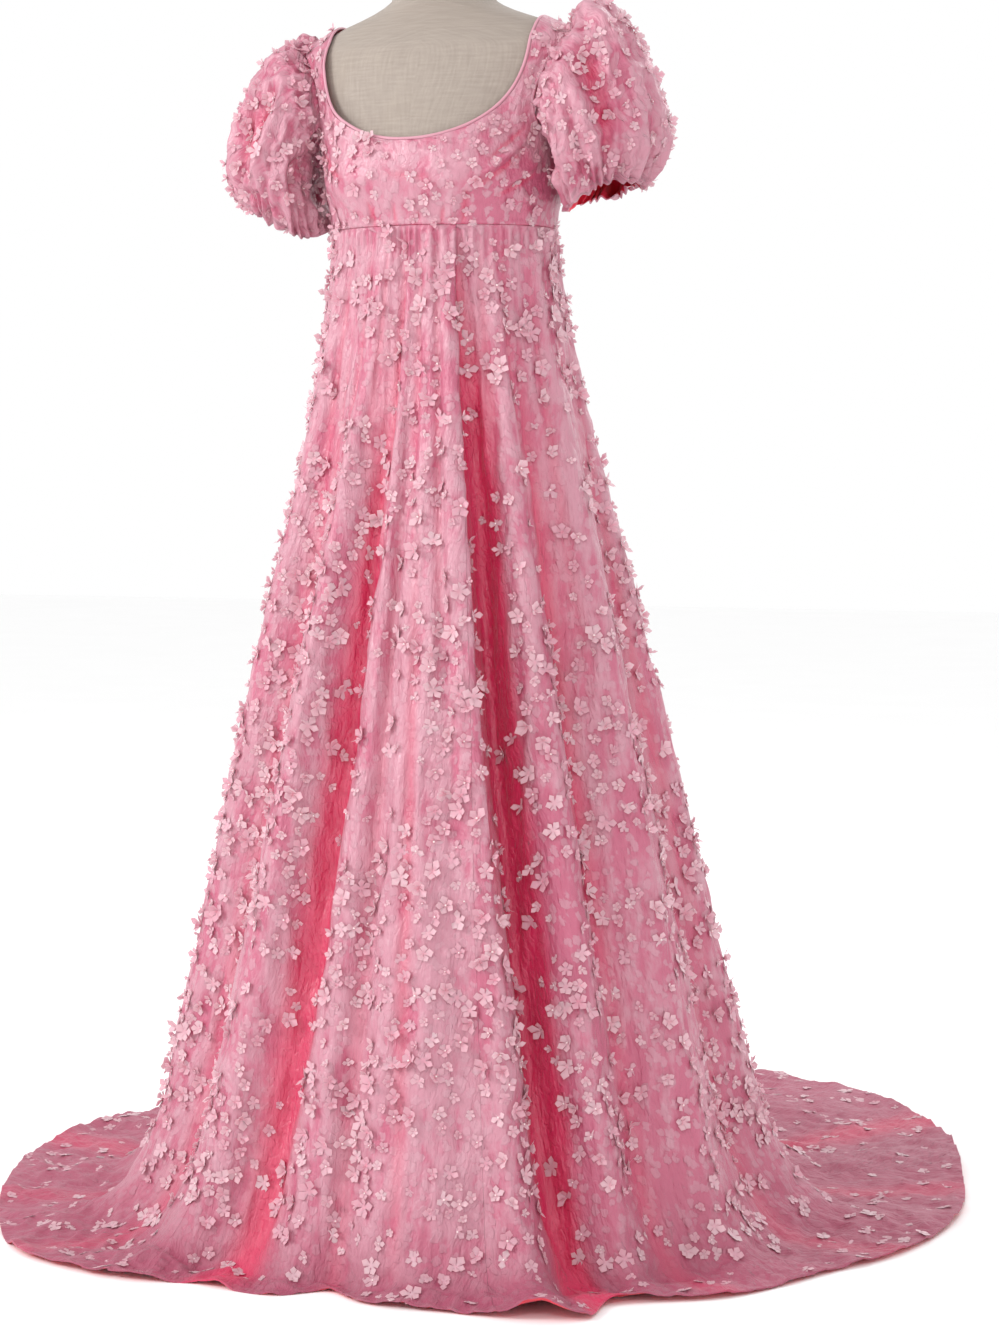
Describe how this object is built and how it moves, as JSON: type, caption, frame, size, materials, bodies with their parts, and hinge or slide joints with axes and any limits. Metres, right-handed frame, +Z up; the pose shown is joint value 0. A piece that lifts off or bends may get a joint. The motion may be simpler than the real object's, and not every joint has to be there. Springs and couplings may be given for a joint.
{
  "type": "empire-line maxi dress on a limbless dress form with a stand",
  "caption": "Long empire-waist dress with scoop neck, short puffed sleeves, sewn-on cloth flowers and a rounded train, worn by a dress form on a round stand.",
  "frame": {"origin": "middle of the underside of the stand's round foot, on the floor", "axes": "+Z up, -Y towards the front of the dress, +X towards the wearer's left"},
  "size_m": [1.216, 1.3317, 1.52],
  "materials": {
    "satin": "pink satin under crinkled tulle with cloth flowers",
    "binding": "smooth pink satin binding",
    "linen": "plain beige linen",
    "steel": "satin grey"
  },
  "bodies": {
    "root": {"form_torso": "linen", "stand_base": "steel", "stand_pole": "steel", "bodice_front": "satin", "bodice_back": "satin", "neck_binding": "binding", "sleeve_left": "satin", "sleeve_right": "satin", "skirt_front": "satin", "skirt_side_front_left": "satin", "skirt_side_front_right": "satin", "skirt_side_back_left": "satin", "skirt_side_back_right": "satin", "skirt_back_left": "satin", "skirt_back_right": "satin"}
  },
  "joints": []
}
